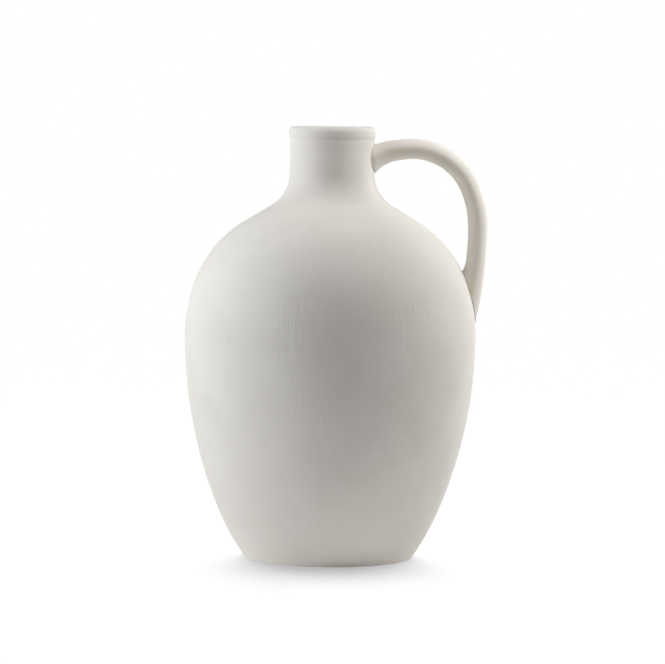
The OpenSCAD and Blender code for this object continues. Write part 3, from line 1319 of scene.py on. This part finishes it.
@dataclass
class HandleSlip:
    """Bed of slip between the handle and the jug, squeezed out a little round the handle.

    It starts as a disc of radius 1 and depth 1, whose points are then laid on the jug.
    """

    section: JugSection
    handle: Handle
    joint: Joint
    bead: float
    thickness: float = 0.8
    under: float = 0.05
    edge_wave: float = 0.12
    edge_wave_size: float = 0.45
    segments: int = 72
    rings: int = 6
    ringed_share: float = 0.9
    rounding: float = 0.045
    rounding_steps: int = 4
    level_edge: float = 0.1
    settling: int = 4
    end_width: float = 1.2
    least_end: float = 1e-4
    search_step: float = 0.1
    search_steps: int = 600
    ends: Span = field(init=False)

    def __post_init__(self) -> None:
        """Finds the heights between which the bar's lower end meets the belly."""
        belly_z = self.section.sizes.belly_z
        heights = [belly_z + step * self.search_step for step in range(self.search_steps)]
        met = [height for height in heights if abs(self._offset(height)) < self.handle.tail_bar_r]
        self.ends = (met[0], met[-1])

    def build(self) -> Piece:
        """Builds the bed.

        Returns:
            The piece.
        """
        bm = bmesh.new()
        bmesh.ops.create_cone(
            bm, cap_ends=True, segments=self.segments, radius1=1.0, radius2=1.0, depth=1.0
        )
        rim = [e for e in bm.edges if abs(e.verts[0].co.z - e.verts[1].co.z) < self.level_edge]
        bmesh.ops.bevel(
            bm, geom=rim, offset=self.rounding, segments=self.rounding_steps, profile=0.5,
            affect="EDGES", material=-1,
        )
        for side in (-1.0, 1.0):
            cap = max(bm.faces, key=lambda face: len(face.verts) * (face.normal.z * side > 0.5))
            for _ in range(self.rings):
                bmesh.ops.inset_region(bm, faces=[cap], thickness=self.ringed_share / (self.rings + 1))
        lay = self._lay_on_neck if self.joint is Joint.NECK else self._lay_on_belly
        for vert in bm.verts:
            lift = (vert.co.z + 0.5) * (self.thickness + self.under) - self.under
            vert.co = lay(vert.co, lift) * MM
        bmesh.ops.recalc_face_normals(bm, faces=bm.faces)
        return make_piece(f"{self.joint.value}_bed", bm, SOFT_CREASE)

    def _lay_on_neck(self, point: Vector, lift: float) -> Vector:
        """Lays a point of the disc on the neck, round the handle's root.

        Args:
            point: The point of the disc.
            lift: How far off the neck's face it lies, in millimetres.

        Returns:
            Its place in millimetres.
        """
        handle, part = self.handle, self.section
        upward = handle.along.cross(DEPTHWISE)
        wave = self.edge_wave * ripple(point * MM, self.edge_wave_size)
        width = handle.bar_r + handle.flare + self.bead + wave
        foot = in_space(handle.root_end) / MM - handle.along * handle.root_l - upward * handle.sag
        foot += upward * point.y * width + DEPTHWISE * point.x * width * handle.depth
        for _ in range(self.settling):
            reach = part.neck_radius(foot.z) + lift
            face_x = math.sqrt(max(reach**2 - foot.y**2, 0.0))
            foot += handle.along * (face_x - foot.x) / handle.along.x
        return foot

    def _lay_on_belly(self, point: Vector, lift: float) -> Vector:
        """Lays a point of the disc on the belly, under the handle's lower end.

        Args:
            point: The point of the disc.
            lift: How far off the belly's face it lies, in millimetres.

        Returns:
            Its place in millimetres.
        """
        low, high = self.ends
        half = (high - low) / 2.0 + self.bead
        height = (low + high) / 2.0 + point.y * half
        round_end = math.sqrt(max(1.0 - point.y**2, self.least_end))
        width = self._half_width(min(max(height, low), high)) + self.bead
        aside = point.x / round_end * min(width, half * round_end * self.end_width)
        radius = self.section.outer_radius(height) + lift
        return Vector((math.sqrt(radius**2 - aside**2), aside, height))

    def _offset(self, height: float) -> float:
        """How far the bar's centre line lies outside the belly at a height, less what is drawn on.

        Args:
            height: The height in millimetres.

        Returns:
            The distance in millimetres, negative inside the belly.
        """
        out = self.handle.fall.right_side(height) - self.section.outer_radius(height)
        reach = self.handle.tail_bar_r
        return out * reach / (reach + self.handle.drawn_on) if out > 0.0 else out

    def _half_width(self, height: float) -> float:
        """Half width of the handle's footprint on the belly at a height."""
        across = math.sqrt(max(self.handle.tail_bar_r**2 - self._offset(height) ** 2, 0.0))
        return across * self.handle.depth


@dataclass
class InnerGlaze:
    """Glassy lining of the whole inside, up to just below the lip."""

    section: JugSection
    turns: int = 160
    inside: InsideSteps = InsideSteps(12, 12, 4, 12, 12, 24, 8, 5)
    thickness: float = 0.5
    drop: float = 4.0
    clear: float = 0.02
    wave: float = 0.5
    wave_size: float = 13.0
    wave_h: float = 6.0

    def build(self) -> Piece:
        """Builds the lining.

        Returns:
            The piece.
        """
        part, s = self.section, self.section.sizes
        edge_z = part.height - self.drop
        pen = SectionPen(Vector((0.0, s.floor_t + self.clear)))
        pen.inside_up(part, self.clear, self.inside, edge_z)
        pen.line(Vector((s.bore_r - self.thickness, edge_z)), steps=3)
        pen.inside_down(part, self.thickness, self.inside)
        bm = pen.revolve(self.turns)
        for vert in bm.verts:
            near = smooth_step(vert.co.z / MM, edge_z - self.wave_h, edge_z)
            vert.co.z += near * self.wave * ripple(vert.co, self.wave_size) * MM
        return make_piece("inner_glaze_lining", bm)


@dataclass(frozen=True)
class Softbox:
    """Softbox on a stand. Azimuth 0 is the camera's side and 90 the handle's; lengths are in metres."""

    name: str
    azimuth: float
    reach: float
    height: float
    width: float
    tall: float
    watts: float
    colour: Colour = (1.0, 1.0, 1.0)
    aim: Vector = Vector((0.0, 0.0, 0.18))

    def build(self) -> None:
        """Puts the softbox up, turned to the jug and out of the picture."""
        place = Vector((self.reach * sine(self.azimuth), -self.reach * cosine(self.azimuth), self.height))
        data = bpy.data.lights.new(self.name, "AREA")
        data.shape = "RECTANGLE"
        data.size, data.size_y = self.width, self.tall
        data.energy = self.watts
        data.color = self.colour
        lamp = bpy.data.objects.new(self.name, data)
        lamp.location = place
        lamp.rotation_euler = (place - self.aim).to_track_quat("Z", "Y").to_euler()
        lamp.visible_camera = False
        bpy.context.scene.collection.objects.link(lamp)


@dataclass(frozen=True)
class FloorPaper:
    """White paper under the jug, with a soft shadow in front of the foot and a close one behind it.

    Lengths are in metres.
    """

    side: float = 24.0
    colour: Colour = (0.86, 0.86, 0.86)
    glow: float = 0.18
    seen_colour: Colour = (0.04, 0.04, 0.04)
    shadow_samples: int = 16
    shadow_reach: float = 0.26
    shadow_lean: float = 75.0
    shadow_from: Span = (0.42, 0.70)
    shadow_dark: float = 0.44
    close_reach: float = 0.07
    close_from: Span = (0.30, 0.95)
    close_dark: float = 0.45
    close_starts: Span = (0.01, 0.06)
    close_fades: Span = (0.030, 0.062)

    def build(self) -> None:
        """Lays the paper."""
        bm = bmesh.new()
        bmesh.ops.create_grid(bm, x_segments=2, y_segments=2, size=self.side / 2.0)
        floor = make_piece("floor", bm)
        floor.data.materials.append(self._material())

    def _material(self) -> Material:
        """White to the eye far from the jug, and shaded close to it.

        Returns:
            The paper's material.
        """
        sheet = MaterialSheet("floor_paper")
        seen = sheet.seen_directly()
        lean = {"Y": sine(self.shadow_lean), "Z": cosine(self.shadow_lean)}
        normal = sheet.wire(sheet.add("ShaderNodeCombineXYZ"), lean)["Vector"]
        shade = sheet.add("ShaderNodeAmbientOcclusion", samples=self.shadow_samples)
        open_sky = sheet.wire(shade, {"Distance": self.shadow_reach, "Normal": normal})["AO"]
        clear = sheet.span(open_sky, self.shadow_from, (self.shadow_dark, 1.0), Ease.STRAIGHT)
        clear = sheet.math("MULTIPLY", clear, self._clear_behind(sheet))
        return sheet.dress({
            "Base Color": sheet.blend(seen, self.colour, self.seen_colour),
            "Roughness": 1.0,
            "Specular IOR Level": 0.0,
            "Emission Color": WHITE,
            "Emission Strength": sheet.span(seen, FULL, (self.glow, clear)),
        })

    def _clear_behind(self, sheet: MaterialSheet) -> Socket:
        """How clear of the close shadow behind the foot the paper is.

        Args:
            sheet: The sheet of the paper's material.

        Returns:
            A value that is 1 where there is no shadow.
        """
        shade = sheet.add("ShaderNodeAmbientOcclusion", samples=self.shadow_samples)
        open_sky = sheet.wire(shade, {"Distance": self.close_reach})["AO"]
        place = sheet.parts(sheet.place)
        behind = sheet.span(place["Y"], self.close_starts)
        middle = sheet.span(sheet.math("ABSOLUTE", place["X"]), self.close_fades, (1.0, 0.0))
        dark = sheet.span(open_sky, self.close_from, (1.0 - self.close_dark, 0.0), Ease.STRAIGHT)
        dark = sheet.math("MULTIPLY", sheet.math("MULTIPLY", behind, middle), dark)
        return sheet.math("SUBTRACT", 1.0, dark)


@dataclass
class Studio:
    """Paper floor, white surroundings, softboxes and the camera. Camera lengths are in millimetres."""

    softboxes: tuple[Softbox, ...] = (
        Softbox("left_softbox", -87.0, 0.95, 0.45, 0.45, 0.75, 5.0, (0.94, 0.97, 1.0)),
        Softbox("left_front_softbox", -70.0, 0.60, 0.55, 0.35, 0.50, 1.46, (0.94, 0.97, 1.0)),
        Softbox("right_softbox", 81.0, 0.40, 0.51, 0.22, 0.40, 1.56),
        Softbox("right_back_softbox", 130.0, 0.55, 0.25, 0.35, 0.50, 1.50),
        Softbox("top_softbox", 0.0, 0.20, 0.75, 0.50, 0.50, 0.93),
    )
    floor: FloorPaper = FloorPaper()
    eye: Vector = Vector((1.654, -2528.0, 352.5))
    aim: Vector = Vector((1.654, 0.0, 167.5))
    roll: float = 0.639
    focal_pixels: float = 3409.0
    sensor_width: float = 36.0
    sees: Span = (50.0, 60000.0)

    def build(self) -> None:
        """Sets everything up."""
        self.floor.build()
        self._world()
        for softbox in self.softboxes:
            softbox.build()
        self._camera()
        bpy.context.scene.view_settings.view_transform = "Standard"

    def _world(self) -> None:
        """Makes the surroundings white to the eye and dark as light."""
        world = bpy.data.worlds.new("studio")
        bpy.context.scene.world = world
        world.use_nodes = True
        desk = NodeDesk(world.node_tree)
        back = world.node_tree.nodes["Background"]
        desk.wire(back, {"Color": WHITE, "Strength": desk.seen_directly()})

    def _camera(self) -> None:
        """Sets the camera up where the picture was taken from."""
        data = bpy.data.cameras.new("camera")
        data.sensor_width = self.sensor_width
        data.lens = self.focal_pixels / PICTURE_WIDTH * self.sensor_width
        data.clip_start, data.clip_end = (distance * MM for distance in self.sees)
        camera = bpy.data.objects.new("camera", data)
        look = (self.aim - self.eye).to_track_quat("-Z", "Y").to_matrix().to_4x4()
        lean = Matrix.Rotation(math.radians(self.roll), 4, "Z")
        camera.matrix_world = Matrix.Translation(self.eye * MM) @ look @ lean
        bpy.context.scene.collection.objects.link(camera)
        bpy.context.scene.camera = camera


def main() -> None:
    """Builds the studio and the jug, piece by piece."""
    logging.basicConfig(level=logging.INFO, format="%(name)s %(message)s")
    Studio().build()
    section = JugSection(JugSizes())
    effects = ClayEffects(section)
    clay = ClayFinish("brushed_clay", (0.81, 0.776, 0.725), (0.745, 0.711, 0.655)).material(effects)
    # The bar's clay is a lighter copy of the body's clay: painted light, so that the handle renders
    # brighter than the belly under the same lamps.
    bar_clay_with_painted_light = ClayFinish(
        "brushed_bar_clay", (0.87, 0.83, 0.77), (0.80, 0.76, 0.69), across=5.0, along=30.0, worked=1.0,
        # The last colour is a warm tint with painted shade, laid as a darker stripe down the bar's front
        # and back.
        stroke_relief=0.0002, attribute=BAR_PLACE, warm_tint_and_painted_shade=(0.775, 0.72, 0.605),
    ).material(effects)
    # The slip is coloured far darker than the clay: painted shade in the creases where the handle meets
    # the neck and the belly.
    slip = ClayFinish(
        "slip_painted_crease_shade", (0.61, 0.575, 0.515), (0.54, 0.505, 0.45), stroke_relief=0.0
    ).material(effects)
    glaze = GlazeFinish("inner_glaze", (0.84, 0.83, 0.79), (0.76, 0.745, 0.69)).material(effects)
    rim = RimBand(section)
    place_piece(JugBody(section, rim.foot_r).build(), "body", clay)
    place_piece(rim.build(), "rim_band", clay)
    handle = Handle(section)
    place_piece(handle.build(), "handle", bar_clay_with_painted_light)
    # The wider bead at the neck spreads the slip's painted crease shade further round the handle's root.
    for joint, bead in ((Joint.NECK, 0.55), (Joint.BELLY, 0.1)):
        place_piece(HandleSlip(section, handle, joint, bead).build(), joint.value, slip)
    place_piece(InnerGlaze(section).build(), "inner_glaze", glaze)


if __name__ == "__main__":
    main()
